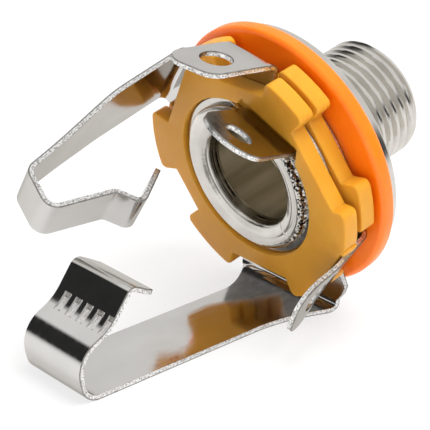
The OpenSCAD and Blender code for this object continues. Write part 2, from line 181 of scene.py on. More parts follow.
thread_z = np.arange(THREAD_START, BARREL_END - 0.45, THREAD_PITCH / 13)
lip = refined(bent([
    (TAIL_BORE_R, -1.27), (TAIL_BORE_R, -4.6), (4.12, -5.38), (4.78, -5.74), (5.6, LIP_BACK),
    (LIP_R, -5.62), (LIP_R, LIP_FRONT)], [0.8, 0.45, 0.9, 0.4, 0.2]), 0.11)
bore = np.concatenate([
    line((BORE_R, BARREL_END - 0.4), (BORE_R, 0.6), 5),
    line((TAIL_BORE_R, -0.1), (TAIL_BORE_R, -4.3), 5)])
profile = np.concatenate([
    lip[lip[:, 1] < -4.4],
    line((TAIL_R, LIP_FRONT), (TAIL_R, FLANGE_BACK), 3),
    line((TAIL_R + 0.1, FLANGE_BACK), (FLANGE_R - 0.12, FLANGE_BACK), 4),
    arc((FLANGE_R - 0.1, FLANGE_BACK + 0.1), 0.1, -90, 0, 4),
    arc((FLANGE_R - FLANGE_EDGE, -FLANGE_EDGE), FLANGE_EDGE, 0, 90, 5),
    line((9.5, 0), (4.9, 0), 6),
    line((THREAD_CREST - 0.02, 0.02), (THREAD_CREST - 0.02, 0.9), 4),
    np.column_stack([np.full(len(thread_z), THREAD_CREST), thread_z]),
    line((THREAD_CREST, BARREL_END - 0.44), (THREAD_CREST - 0.4, BARREL_END - 0.03), 4),
    arc((THREAD_CREST - 0.43, BARREL_END - 0.06), 0.06, 45, 90, 3),
    line((4.1, BARREL_END), (BORE_R + 0.4, BARREL_END), 3),
    line((BORE_R + 0.36, BARREL_END - 0.04), (BORE_R + 0.03, BARREL_END - 0.37), 4),
    bore])
turn = np.arange(TURN) / TURN * 2 * np.pi
radius = np.repeat(profile[:, :1], TURN, 1)
height = np.repeat(profile[:, 1:], TURN, 1)
# The thread: depth times a clipped triangle wave of z / pitch - angle / turn, faded at both ends
on_thread = (np.abs(profile[:, 0] - THREAD_CREST) < 1e-6)[:, None]
phase = (height / THREAD_PITCH - turn[None, :] / (2 * np.pi)) % 1
groove = np.clip(1.7 * (1 - np.abs(2 * phase - 1)) - 0.6, 0, 1)
fade = np.clip((height - THREAD_START) / 0.5, 0, 1)
fade *= np.clip((BARREL_END - 0.3 - height) / 0.4, 0, 1)
radius = np.where(on_thread, radius - THREAD_DEPTH * groove * fade, radius)
# The wall of the lip is torn by the rolling on one side, in uneven teeth
tooth = np.clip(0.5 + 1.1 * random_ring(TURN, 3, 2), 0, 1)
wall = np.clip((profile[:, 0] - TEETH_R) / 0.25, 0, 1)
wall *= np.clip((LIP_FRONT - profile[:, 1]) / 0.12, 0, 1)
towards = np.cos(turn - math.radians(TEETH_TURN))
torn = np.clip(towards * 3 - 1.6, 0, 1)
radius = radius - TEETH_DEPTH * wall[:, None] * (tooth * torn)[None, :]
# Round the mouth the roll is a little uneven, with a fine crease on one side and one short crack
on_roll = np.clip((profile[:, 0] - 4.1) / 0.3, 0, 1) * (profile[:, 1] < LIP_FRONT - 0.1)
height = height + 0.010 * on_roll[:, None] * (1 + random_ring(TURN, 5, 12)[None, :])
crease = np.exp(-((profile[:, 0] - CREASE_R) / CREASE_W) ** 2) * on_roll
side = np.clip(towards * 2.2 - 1.0, 0, 1)
height = height + CREASE_DEPTH * crease[:, None] * (0.25 + 0.75 * side[None, :])
crack = np.exp(-((turn - math.radians(CRACK_TURN)) * CRACK_R / CRACK_W) ** 2)[None, :]
cracked = on_roll * np.clip((5.35 - profile[:, 0]) / 0.2, 0, 1)
height = height + CRACK_DEPTH * crack * cracked[:, None]
# Where the sleeve terminal folds, the lip is cut off along the fold
facing = np.cos(turn - math.radians(FOLD_TURN))[None, :]
chord = (FOLD_CUT + (LIP_FRONT - height) * FOLD_SLOPE) / np.maximum(facing, 0.5)
on_lip = ((profile[:, 0] > 4.6) & (profile[:, 1] < LIP_FRONT + 0.01))[:, None] & (facing > 0.5)
radius = np.where(on_lip, np.minimum(radius, chord), radius)

bright_nickel, tree, surface = material("bright nickel plate on turned brass")
# Nickel plate over a turned surface: near mirror, warmed a little, with faint lathe lines that
# are drawn coarser than real ones, so that they show
LATHE_LINE, STAIN, TEETH_SHADE_SIZE = 0.1538, 2.222, 0.2381
MOUTH_R, MOUTH_FADE, MOUTH_BACK, TEETH_SHADE_BACK, TEETH_SHADE_SIDE = 4.05, 0.3, -4.3, -5.22, -3.6
where = add(tree, "ShaderNodeTexCoord").outputs["Object"]
split = add(tree, "ShaderNodeSeparateXYZ", {"Vector": where})
flat = add(tree, "ShaderNodeCombineXYZ", {"X": split.outputs[0], "Y": split.outputs[1]})
out = add(tree, "ShaderNodeVectorMath", {0: flat.outputs[0]}, operation="LENGTH").outputs["Value"]
lathe = add(tree, "ShaderNodeCombineXYZ", {"X": out, "Z": split.outputs[2]})
lines = add(tree, "ShaderNodeTexNoise", {
    "Vector": lathe.outputs[0], "Scale": waves(LATHE_LINE), "Detail": 4.0})
stain = add(tree, "ShaderNodeTexNoise", {"Vector": where, "Scale": waves(STAIN), "Detail": 3.0})
tint = add(tree, "ShaderNodeMixRGB", {
    "Fac": stain.outputs["Fac"], "Color1": colour("#BCB8B1"), "Color2": colour("#E6E3DD")})
# Painted shade darkens the hollow inside the mouth, broken into rings along the lathe lines
at_mouth = add(tree, "ShaderNodeMapRange", {
    "Value": out, "From Min": MOUTH_R * MM, "From Max": (MOUTH_R + MOUTH_FADE) * MM,
    "To Min": 1.0, "To Max": 0.0})
painted_shade = add(tree, "ShaderNodeMath", {0: split.outputs[2], 1: MOUTH_BACK * MM},
             operation="LESS_THAN")
ringed = add(tree, "ShaderNodeMapRange", {
    "Value": lines.outputs["Fac"], "From Min": 0.46, "From Max": 0.56})
broken = add(tree, "ShaderNodeMapRange", {
    "Value": stain.outputs["Fac"], "From Min": 0.4, "From Max": 0.55})
for mask in (at_mouth, ringed, broken):
    painted_shade = add(tree, "ShaderNodeMath", {0: painted_shade.outputs[0], 1: mask.outputs[0]},
                 operation="MULTIPLY")
# Painted shade darkens the gaps between the torn teeth of the wall, on one side
teeth = add(tree, "ShaderNodeTexNoise", {"Vector": where, "Scale": waves(TEETH_SHADE_SIZE), "Detail": 3.0})
teeth_shade = add(tree, "ShaderNodeMapRange", {
    "Value": teeth.outputs["Fac"], "From Min": 0.5, "From Max": 0.54})
for value, limit, way in (
        (out, TEETH_R, "GREATER_THAN"), (split.outputs[2], TEETH_SHADE_BACK, "LESS_THAN"),
        (split.outputs[1], TEETH_SHADE_SIDE, "LESS_THAN")):
    edge = add(tree, "ShaderNodeMath", {0: value, 1: limit * MM}, operation=way)
    teeth_shade = add(tree, "ShaderNodeMath", {0: teeth_shade.outputs[0], 1: edge.outputs[0]},
                operation="MULTIPLY")
painted_shade = add(tree, "ShaderNodeMath", {0: painted_shade.outputs[0], 1: teeth_shade.outputs[0]},
             operation="MAXIMUM")
# Where either painted shade lies, the plate's tint goes to near black
tint = add(tree, "ShaderNodeMixRGB", {
    "Fac": painted_shade.outputs[0], "Color1": tint.outputs[0], "Color2": colour("#262422")})
plated(tree, surface, tint.outputs[0], lines.outputs["Fac"], (0.12, 0.26), 0.12,
       (0.95, 0.93, 0.9, 1))

drilled, tree, surface = material("drilled bore, thinly plated brass")
# Plate hardly reaches into the bore: dull, with soft marks that the drill drew along it
DRILL_MARK_W, DRILL_MARK_L, BORE_GRAIN = 2.381, 25, 0.2
where = add(tree, "ShaderNodeTexCoord").outputs["Object"]
drawn = add(tree, "ShaderNodeMapping", {
    "Vector": where, "Scale": (waves(DRILL_MARK_W), waves(DRILL_MARK_W), waves(DRILL_MARK_L))})
marks = add(tree, "ShaderNodeTexNoise", {"Vector": drawn.outputs[0], "Scale": 1.0, "Detail": 3.0})
grain = add(tree, "ShaderNodeTexNoise", {
    "Vector": where, "Scale": waves(BORE_GRAIN), "Detail": 3.0})
tint = add(tree, "ShaderNodeValToRGB", {"Fac": marks.outputs["Fac"]})
for stop, (at, code) in zip(tint.color_ramp.elements, ((0.35, "#A69B84"), (0.7, "#F2EAD8"))):
    stop.position, stop.color = at, colour(code)
relief = add(tree, "ShaderNodeBump", {
    "Height": grain.outputs["Fac"], "Strength": 0.2, "Distance": 0.03 * MM})
wall_metal = add(tree, "ShaderNodeBsdfPrincipled", {
    "Base Color": tint.outputs[0], "Metallic": 1.0, "Roughness": 0.42,
    "Normal": relief.outputs[0]})
tree.links.new(wall_metal.outputs[0], surface.inputs["Surface"])

points = np.stack([radius * np.cos(turn), radius * np.sin(turn), height], -1).reshape(-1, 3)
bushing = body("threaded_bushing", points, grid_faces(len(profile), TURN), [bright_nickel, drilled],
               30, [(len(profile) - len(bore)) * TURN, len(bore) * TURN])
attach(bushing, "root")
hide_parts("bushing")

# Front washer: a thick ring moulded in bright orange thermoplastic, semi-gloss, with soft
# outer edges, clamped between the flange and the tip spring.
WASHER_R, WASHER_BORE, WASHER_FRONT, WASHER_BACK, WASHER_ROUND = 10.58, 4.55, -0.8, -2.1, 0.42
WASHER_TURN, WASHER_SWELL = 256, 0.0015
washer_edge = WASHER_R - WASHER_ROUND
washer_profile = np.concatenate([
    line((washer_edge, WASHER_FRONT), (WASHER_BORE, WASHER_FRONT), 7),
    line((WASHER_BORE, WASHER_FRONT - 0.2), (WASHER_BORE, WASHER_BACK + 0.2), 3),
    line((WASHER_BORE, WASHER_BACK), (washer_edge, WASHER_BACK), 7),
    arc((washer_edge, WASHER_BACK + WASHER_ROUND), WASHER_ROUND, -80, -10, 8),
    arc((washer_edge, WASHER_FRONT - WASHER_ROUND), WASHER_ROUND, 10, 80, 8)])
washer_turn = np.arange(WASHER_TURN) / WASHER_TURN * 2 * np.pi
# The mould is a little out of round, in three waves
swell = 1 - WASHER_SWELL * (1 + np.sin(3 * washer_turn + 0.6))
ring_r = washer_profile[:, :1] * swell
washer_points = np.stack([
    ring_r * np.cos(washer_turn), ring_r * np.sin(washer_turn),
    np.repeat(washer_profile[:, 1:], WASHER_TURN, 1)], -1).reshape(-1, 3)

orange, tree, surface = material("orange moulded thermoplastic")
# Unfilled plastic: strong even colour, light gets a little way in, gloss broken by mould grain
WASHER_CLOUD, WASHER_GRAIN = 3.846, 0.1111
where = add(tree, "ShaderNodeTexCoord").outputs["Object"]
cloud = add(tree, "ShaderNodeTexNoise", {
    "Vector": where, "Scale": waves(WASHER_CLOUD), "Detail": 3.0})
grain = add(tree, "ShaderNodeTexNoise", {
    "Vector": where, "Scale": waves(WASHER_GRAIN), "Detail": 2.0})
tint = add(tree, "ShaderNodeMixRGB", {
    "Fac": cloud.outputs["Fac"], "Color1": colour("#F67002"), "Color2": colour("#FC7E06")})
rough = add(tree, "ShaderNodeMapRange", {
    "Value": grain.outputs["Fac"], "To Min": 0.28, "To Max": 0.42})
relief = add(tree, "ShaderNodeBump", {
    "Height": grain.outputs["Fac"], "Strength": 0.15, "Distance": 0.03 * MM})
plastic = add(tree, "ShaderNodeBsdfPrincipled", {
    "Base Color": tint.outputs[0], "Roughness": rough.outputs[0], "Normal": relief.outputs[0],
    "IOR": 1.49, "Subsurface Weight": 0.35, "Subsurface Radius": (1.0, 0.35, 0.08),
    "Subsurface Scale": 1.2 * MM})
tree.links.new(plastic.outputs[0], surface.inputs["Surface"])

washer = body("orange_washer", washer_points, grid_faces(len(washer_profile), WASHER_TURN),
              [orange], 50)
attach(washer, "root")
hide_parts("front_washer")

# Tip spring: sheared from hard spring strip with bright nickel plate and bent back into a hooked
# arm with a cranked contact. A solder lug is bent back from the clamped ring. The cut edges
# stay rough and bright.
SHEET, SHEET_EDGE, CUT_ROUGH, SPRING_RING, SPRING_HOLE, BEND = 0.4, 0.035, 0.02, 7.7, 5.6, 0.7
LUG_W, LUG_HOLE, LUG_END, LUG_ROUND, BLANK_START = 4.4, 1.2, 2.75, 1.4, 6.2
TIP_MID, TIP_REACH, TIP_DEPTH, TIP_KNEE = -2.3, 12.1, -25.1, 6.6
TIP_HOOK, TIP_CREST, TIP_CRANK, TIP_CRANK_TURN = (2.4, -22.0), (0.25, -19.5), 2.35, 41
TIP_ARM_W, TIP_FLARE_FAR, TIP_FLARE_NEAR, TIP_ROOT_HALF = 6.2, 2.4, 1.7, 6.5
FLARE_TOP, FLARE_FAR_L, FLARE_NEAR_L, HOOK_START = -2.5, 4.3, 7, 20
FAR_SHOULDER, FAR_SHOULDER_TURN = [[9.7, 6.5], [8.1, 6.8]], 62
NEAR_SHOULDER = [[8.9, -5.8], [9.5, -5.95], [10.3, -5.55]]
TIP_LUG_TURN, TIP_LUG_SHIFT, TIP_LUG_REACH = 306, -0.3, 9.08
TIP_LUG_LEAN, TIP_LUG_L, TWIST, TWIST_START, TWIST_L = 11, 5.7, 9, -5.7, 3.5
TIP_BENDS, END_CUT = [BEND, 1.5, 2.2, 4.0, 0.6], 0.5


def lengths(path):
    """Length along a path at each of its points, counted from the radius that it starts at."""
    return path[0, 0] + np.concatenate([[0], np.cumsum(np.hypot(*np.diff(path, axis=0).T))])


def follow(path, u):
    """Point and normal of a path at the lengths u along it."""
    step, at = np.diff(path, axis=0), lengths(path)
    heading = np.unwrap(np.arctan2(step[:, 1], step[:, 0]))
    middle = (at[1:] + at[:-1]) / 2
    angle = np.interp(u, middle, heading)
    place = np.column_stack([np.interp(u, at, path[:, 0]), np.interp(u, at, path[:, 1])])
    return place, np.column_stack([-np.sin(angle), np.cos(angle)])


def stations(path, straight=0.8):
    """Lengths along a path for rows of points: at each of its corners, and between far ones."""
    at = lengths(path)
    parts = [np.linspace(a, b, max(1, round((b - a) / straight)), endpoint=False)
             for a, b in zip(at, at[1:]) if b - a > 1e-6]
    return np.append(np.concatenate(parts), at[-1])


def turned(points, degrees):
    """Plane points turned about the axis."""
    c, s = math.cos(math.radians(degrees)), math.sin(math.radians(degrees))
    return np.asarray(points) @ np.array([[c, s], [-s, c]])


def circle(radius, count, centre=(0, 0)):
    """Points round a circle, counted clockwise as the edge of a hole is."""
    return arc(centre, radius, 0, -360 + 360 / count, count)


def inside(points, loop):
    """Even-odd test of points against a closed loop: crossings of a ray along +X."""
    a, b = loop, np.roll(loop, -1, 0)
    y = points[:, 1:2]
    crosses = (a[:, 1] > y) != (b[:, 1] > y)
    slope = (b[:, 0] - a[:, 0]) / np.where(b[:, 1] == a[:, 1], 1e-9, b[:, 1] - a[:, 1])
    return (crosses & (points[:, :1] < a[:, 0] + slope * (y - a[:, 1]))).sum(1) % 2 == 1


def flat_mesh(loops, extra=None):
    """Triangles of a flat blank with the first loop as its outline and the others as holes."""
    points = np.concatenate(list(loops) + ([] if extra is None else [extra]))
    edges, first = [], 0
    for loop in loops:
        n = len(loop)
        edges += [(first + i, first + (i + 1) % n) for i in range(n)]
        first += n
    out = delaunay_2d_cdt([tuple(p) for p in points], edges, [], 0, 1e-7)
    where = np.array([tuple(p) for p in out[0]])
    faces = np.array(out[2])
    middle = where[faces].mean(1)
    keep = inside(middle, loops[0])
    for loop in loops[1:]:
        keep &= ~inside(middle, loop)
    # The triangles' corners are told by the given points, whatever order they come back in
    order = np.array([source[0] for source in out[3]])
    faces = order[faces[keep]]
    a, b, c = points[faces].transpose(1, 0, 2)
    turn_sign = (b - a)[:, 0] * (c - a)[:, 1] - (b - a)[:, 1] * (c - a)[:, 0]
    faces[turn_sign < 0] = faces[turn_sign < 0][:, ::-1]
    return points, faces[np.abs(turn_sign) > 1e-9]


def inward(loop):
    """Direction to the left of travel at each point of a closed loop, longer in its corners."""
    ahead = np.roll(loop, -1, 0) - loop
    ahead /= np.hypot(*ahead.T)[:, None]
    left = np.column_stack([-ahead[:, 1], ahead[:, 0]])
    both = left + np.roll(left, 1, 0)
    both /= np.maximum(np.hypot(*both.T), 1e-6)[:, None]
    return both / np.maximum((both * left).sum(1), 0.6)[:, None]


def stamping(loops, extra, thickness, place, rough, seed):
    """A blank of sheet as a closed skin. Its two faces are the flat mesh at heights of half the
    thickness either way, drawn in by the rounding of the edge, and rings down each cut side join
    them. place(xy, h) carries a point of the blank at height h to space. Gives the points, the
    faces and how many of these are skin, land and torn metal."""
    flat, faces = flat_mesh(loops, extra)
    count = sum(len(loop) for loop in loops)
    drawn = np.zeros_like(flat)
    drawn[:count] = np.concatenate([inward(loop) for loop in loops])
    jitter = np.random.default_rng(seed).uniform(-1, 1, (2, count, 1)) * rough
    half = thickness / 2
    # Each ring: how far it is drawn in, its height, and which row of random values moves it
    rings = [(0.0, half - SHEET_EDGE, 0), (0.0, half - thickness * 0.26, 0),
             (0.018, -half + thickness * 0.3, 1), (0.004, -half + SHEET_EDGE * 0.6, 2)]
    skin = [place(flat + drawn * SHEET_EDGE, np.full(len(flat), half)),
            place(flat + drawn * SHEET_EDGE, np.full(len(flat), -half))]
    for draw, h, noise in rings:
        shift = draw + (jitter[noise - 1] if noise else 0)
        skin.append(place(flat[:count] + drawn[:count] * shift, np.full(count, h)))
    n = len(flat)
    starts = [0] + [2 * n + k * count for k in range(len(rings))] + [n]
    i = np.arange(count)
    j = np.concatenate([np.roll(i[f:f + len(loop)], -1) for f, loop in zip(
        np.cumsum([0] + [len(loop) for loop in loops]), loops)])
    quads = [np.column_stack([a + i, b + i, b + j, a + j]) for a, b in zip(starts, starts[1:])]
    all_faces = faces.tolist() + (faces[:, ::-1] + n).tolist() + np.concatenate(quads).tolist()
    return np.concatenate(skin), all_faces, [2 * len(faces), 2 * count, 3 * count]


def bend_sheet(xy, h, middle, folds):
    """Carries blank points to space: flat at height `middle`, and past each fold along its path.
    A fold is (angle, sideways offset, path, half width, length at which it starts)."""
    out = np.column_stack([xy, middle + h])
    for angle, shift, path, reach, start in folds:
        local = turned(xy, -angle)
        on = (local[:, 0] > start) & (np.abs(local[:, 1] - shift) < reach)
        spot, normal = follow(path, local[on, 0])
        rho = spot[:, 0] + normal[:, 0] * h[on]
        z = spot[:, 1] + normal[:, 1] * h[on]
        out[on, :2] = turned(np.column_stack([rho, local[on, 1]]), angle)
        out[on, 2] = z
    return out


def path_length(path):
    """Length along a path from the axis."""
    return path[0, 0] + np.hypot(*np.diff(path, axis=0).T).sum()


def solder_lug(turn, middle, ring, reach, lean, length, end, width, shift, hole, rounding,
               skew=0, slant=0):
    """A lug of a blank: straight out to its bend, then a head with two rounded corners, skewed in
    its own plane. Gives its edge, its hole, points inside it, and the fold that shapes it."""
    a, run = math.radians(lean), 12
    path = bent([(ring - 1.5, middle), (reach, middle),
                 (reach + run * math.sin(a), middle - run * math.cos(a))], [BEND])
    corner = path_length(path) - run
    flat = BEND / math.tan(math.radians(45 + lean / 2))
    rows = np.linspace(reach - flat - 0.02, corner + flat + 0.02, 9)
    half, far = width / 2, length + end
    head = turned(refined(bent([
        (flat + 0.6, -half), (far + slant / 2, -half), (far - slant / 2, half), (flat + 0.6, half)],
        [rounding, rounding]), 0.5), skew) + [corner, 0]
    out = np.column_stack([rows, np.full(9, half)])
    rim = np.concatenate([out * [1, -1], head, out[::-1]]) + [0, shift]
    if rows[0] > ring:
        foot = np.array([[0, shift - half], [0, shift + half]])
        foot[:, 0] = np.sqrt(ring ** 2 - foot[:, 1] ** 2)
        rim = np.concatenate([foot[:1], rim, foot[1:]])
    opening = turned(circle(hole, 40, (length, 0)), skew) + [corner, shift]
    inner = np.concatenate([
        np.column_stack([np.full(5, u), np.linspace(-0.8, 0.8, 5) * half + shift])
        for u in rows[1:-1]])
    along, across = np.arange(flat + 0.9, far - rounding, 0.5), np.arange(-3, 4) * 0.6
    grid = np.stack(np.meshgrid(along, across), -1).reshape(-1, 2)
    clear = np.hypot(grid[:, 0] - length, grid[:, 1]) > hole + 0.3
    clear &= np.abs(grid[:, 1]) < half - 0.3
    inner = np.concatenate([inner, turned(grid[clear], skew) + [corner, shift]])
    fold = (turn, shift, path, half + 1.2, rows[0] - 1e-4)
    return turned(rim, turn), turned(opening, turn), turned(inner, turn), fold


def beyond(crest, length, degrees):
    """The end of a strip that goes on past its crest by a length, at an angle to the axis."""
    a = math.radians(degrees)
    return crest[0] + length * math.sin(a), crest[1] + length * math.cos(a)


def arm_blank(rows, near, far, cut):
    """An arm of a blank between two side lines, with the corners of its last row cut off. Gives
    its edge and rows of points across it."""
    end = rows[-1]
    rim = np.concatenate([
        np.column_stack([rows, near])[:-1],
        [[end - 0.05, near[-1] + END_CUT / 2], [end, near[-1] + cut], [end, 0],
         [end, far[-1] - cut], [end - 0.05, far[-1] - END_CUT / 2]],
        np.column_stack([rows, far])[:-1][::-1]])
    across = np.linspace(0, 1, 9)[1:-1]
    inner = [np.column_stack([np.full(len(across), u), a + (b - a) * across])
             for u, a, b in zip(rows[:-1], near, far)]
    return rim, np.concatenate(inner)


tip_path = bent([
    (BLANK_START, TIP_MID), (TIP_REACH, TIP_MID), (TIP_KNEE, TIP_DEPTH), (3.0, TIP_DEPTH),
    TIP_HOOK, TIP_CREST, beyond(TIP_CREST, TIP_CRANK, TIP_CRANK_TURN)], TIP_BENDS)
tip_start = TIP_REACH - BEND * 1.5
tip_rows = stations(tip_path)
tip_rows = tip_rows[tip_rows > tip_start]
tip_z = follow(tip_path, tip_rows)[0][:, 1]
# The arm flares towards its bend: each side by a power of how far up its flare the row lies
far_part, near_part = [
    np.clip((tip_z + reach - FLARE_TOP) / reach, 0, 1) * (tip_rows < HOOK_START)
    for reach in (FLARE_FAR_L, FLARE_NEAR_L)]
tip_rim, tip_inner = arm_blank(
    tip_rows, -TIP_ARM_W / 2 - TIP_FLARE_NEAR * near_part ** 2,
    TIP_ARM_W / 2 + TIP_FLARE_FAR * far_part ** 1.6, END_CUT)


def arc_between(radius, start, end, spacing=2.5):
    """Points of a circle about the axis from one angle to the other, ends left out."""
    steps = max(2, int(abs(end - start) / spacing))
    return arc((0, 0), radius, start, end, steps + 1)[1:-1]


def angle_of(p):
    """Angle of a plane point about the axis, in degrees from 0 to 360."""
    return math.degrees(math.atan2(p[1], p[0])) % 360


tip_lug = solder_lug(TIP_LUG_TURN, TIP_MID, SPRING_RING, TIP_LUG_REACH, TIP_LUG_LEAN, TIP_LUG_L,
                     LUG_END, LUG_W, TIP_LUG_SHIFT, LUG_HOLE, LUG_ROUND)
tip_outline = np.concatenate([
    tip_rim, FAR_SHOULDER,
    arc_between(SPRING_RING, FAR_SHOULDER_TURN, angle_of(tip_lug[0][0]) - 1),
    tip_lug[0], NEAR_SHOULDER])
tip_folds = [(0, 0, tip_path, TIP_ROOT_HALF, tip_start), tip_lug[3]]

spring_plate, tree, surface = material("bright nickel plate on spring strip")
# Rolled and plated strip: a near mirror with soft clouds and faint rolling lines, which are drawn
# coarser than real ones, so that they show
ROLL_LINE_W, ROLL_LINE_L, CLOUD, STREAK_W, STREAK_L = 0.3846, 6.25, 4.545, 0.14286, 1.4286
MARK_STEP, MARK_SHIFT = 1.2, 0.7
where = add(tree, "ShaderNodeTexCoord").outputs["Object"]
drawn = add(tree, "ShaderNodeMapping", {
    "Vector": where, "Scale": (waves(ROLL_LINE_W), waves(ROLL_LINE_W), waves(ROLL_LINE_L))})
lines = add(tree, "ShaderNodeTexNoise", {"Vector": drawn.outputs[0], "Scale": 1.0, "Detail": 3.0})
cloud = add(tree, "ShaderNodeTexNoise", {"Vector": where, "Scale": waves(CLOUD), "Detail": 2.0})
tint = add(tree, "ShaderNodeMixRGB", {
    "Fac": cloud.outputs["Fac"], "Color1": colour("#C9C7C4"), "Color2": colour("#E0DEDB")})
# The press left five short marks side by side in the hollow of the tip's hook: waves across the
# strip, cut off by limits from where they vanish to where they are full, and streaked
split = add(tree, "ShaderNodeSeparateXYZ", {"Vector": where})
beside = add(tree, "ShaderNodeMath", {0: split.outputs[1], 1: -MARK_SHIFT * MM}, operation="ADD")
phase = add(tree, "ShaderNodeMath", {0: beside.outputs[0], 1: 2 * math.pi * waves(MARK_STEP)},
            operation="MULTIPLY")
ribs = add(tree, "ShaderNodeMath", {0: phase.outputs[0]}, operation="COSINE")
marks = add(tree, "ShaderNodeMapRange", {
    "Value": ribs.outputs[0], "From Min": -0.35, "From Max": 0.5})
drawn = add(tree, "ShaderNodeMapping", {
    "Vector": where, "Scale": (waves(STREAK_L), waves(STREAK_W), waves(STREAK_L))})
streaks = add(tree, "ShaderNodeTexNoise", {"Vector": drawn.outputs[0], "Scale": 1.0, "Detail": 2.0})
streaks = add(tree, "ShaderNodeMath", {0: streaks.outputs["Fac"], 1: 0.6}, operation="ADD")
masks = [add(tree, "ShaderNodeMapRange", {
    "Value": value, "From Min": start * MM, "From Max": full * MM}) for value, start, full in (
        (split.outputs[2], -22.7, -21.7), (split.outputs[2], -21.4, -21.7),
        (split.outputs[0], 4.8, 4.2), (split.outputs[1], 2.6, 2.4))]
for mask in (*masks, streaks):
    marks = add(tree, "ShaderNodeMath", {0: marks.outputs[0], 1: mask.outputs[0]},
                operation="MULTIPLY")
STRIP_SHEEN = (0.6, 0.58, 0.55, 1)
plated(tree, surface, tint.outputs[0], lines.outputs["Fac"], (0.07, 0.16), 0.05, STRIP_SHEEN,
       marks.outputs[0])

land, tree, surface = material("burnished land of a cut edge")
# Where the punch entered, the cut side is smooth and dull, and its colour is darkened in patches as
# painted shade that outlines the edge
LAND_SHADE_SIZE = 0.4167
where = add(tree, "ShaderNodeTexCoord").outputs["Object"]
land_shade = add(tree, "ShaderNodeTexNoise", {"Vector": where, "Scale": waves(LAND_SHADE_SIZE), "Detail": 4.0})
# The dark end of this mix is painted shade
tint = add(tree, "ShaderNodeMixRGB", {
    "Fac": land_shade.outputs["Fac"], "Color1": colour("#4A4743"), "Color2": colour("#BDBAB5")})
worn = add(tree, "ShaderNodeBsdfPrincipled", {
    "Base Color": tint.outputs[0], "Metallic": 1.0, "Roughness": 0.35,
    "Specular Tint": (0.5, 0.48, 0.46, 1)})
tree.links.new(worn.outputs[0], surface.inputs["Surface"])

sheared, tree, surface = material("sheared edge of plated strip")
# Past the land the metal is torn, and glitters under the plate. The tears are drawn coarser
# than real ones, so that they show
TEAR = 0.1333
where = add(tree, "ShaderNodeTexCoord").outputs["Object"]
tear = add(tree, "ShaderNodeTexNoise", {"Vector": where, "Scale": waves(TEAR), "Detail": 4.0})
grit = add(tree, "ShaderNodeMapRange", {
    "Value": tear.outputs["Fac"], "From Min": 0.25, "From Max": 0.6})
tint = add(tree, "ShaderNodeMixRGB", {
    "Fac": grit.outputs[0], "Color1": colour("#6A6661"), "Color2": colour("#FAF9F7")})
relief = add(tree, "ShaderNodeBump", {
    "Height": tear.outputs["Fac"], "Strength": 0.35, "Distance": 0.05 * MM})
torn = add(tree, "ShaderNodeBsdfPrincipled", {
    "Base Color": tint.outputs[0], "Metallic": 1.0, "Roughness": 0.3, "Normal": relief.outputs[0],
    "Specular Tint": STRIP_SHEEN})
tree.links.new(torn.outputs[0], surface.inputs["Surface"])


def tip_place(xy, h):
    """Bends the tip spring's blank, and twists the end of its lug about its own middle line, as if
    it had been pushed aside, by an angle that grows smoothly with the depth."""
    out = bend_sheet(xy, h, TIP_MID, tip_folds)
    local = turned(out[:, :2], -TIP_LUG_TURN)
    depth = np.clip((TWIST_START - out[:, 2]) / TWIST_L, 0, 1)
    on = (depth > 0) & (local[:, 0] > 7) & (xy[:, 1] < -4)
    on &= np.abs(local[:, 1] - TIP_LUG_SHIFT) < LUG_W / 2 + 0.2
    t = np.radians(TWIST) * (depth[on] ** 2 * (3 - 2 * depth[on]))
    middle = TIP_LUG_REACH + (TIP_MID - out[on, 2]) * math.tan(math.radians(TIP_LUG_LEAN))
    rise, wide = local[on, 0] - middle, local[on, 1] - TIP_LUG_SHIFT
    out[on, :2] = turned(np.column_stack([
        middle + rise * np.cos(t) + wide * np.sin(t),
        TIP_LUG_SHIFT + wide * np.cos(t) - rise * np.sin(t)]), TIP_LUG_TURN)
    return out


points, faces, cut_faces = stamping(
    [tip_outline, circle(SPRING_HOLE, 96), tip_lug[1]], np.concatenate([tip_inner, tip_lug[2]]),
    SHEET, tip_place, CUT_ROUGH, 11)
strip_metal = [spring_plate, land, sheared]
tip_spring = body("tip_contact_spring", points, faces, strip_metal, 20, cut_faces)
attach(tip_spring, "root")
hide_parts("tip_spring")

# Ring spring: the second contact, cut and plated like the first. Its arm narrows in a
# smooth curve to a hook, and a shorter solder lug stands off its ring.
RING_MID, RING_TURN, RING_ARM_W, RING_NECK_W = -4.05, 127, 6.5, 4.0
RING_REACH, RING_KNEE, RING_NECK_START, RING_NECK_L = 9.95, (8.43, -20.0), -10.0, 8.5
RING_HOOK, RING_CREST, RING_CRANK, RING_CRANK_TURN = (3.8, -15.75), (2.05, -14.65), 3.25, 28
RING_LUG_TURN, RING_LUG_SHIFT, RING_LUG_REACH = 188.5, -0.2, 10.12
RING_LUG_LEAN, RING_LUG_L, RING_LUG_SKEW, RING_LUG_SLANT = 16, 3.4, -7, 1.55
RING_BENDS, RING_END_CUT, RING_ROOT_HALF = [BEND, 20, 0.8, 1.0, 0.8, 0.6], 0.45, 4.0
ring_path = bent([
    (BLANK_START, RING_MID), (RING_REACH, RING_MID), (9.646, -11.39), RING_KNEE, (5.23, -20.7),
    RING_HOOK, RING_CREST, beyond(RING_CREST, RING_CRANK, RING_CRANK_TURN)], RING_BENDS)
ring_start = RING_REACH - BEND * 1.5
ring_rows = stations(ring_path)
ring_rows = ring_rows[ring_rows > ring_start]
ring_z = follow(ring_path, ring_rows)[0][:, 1]
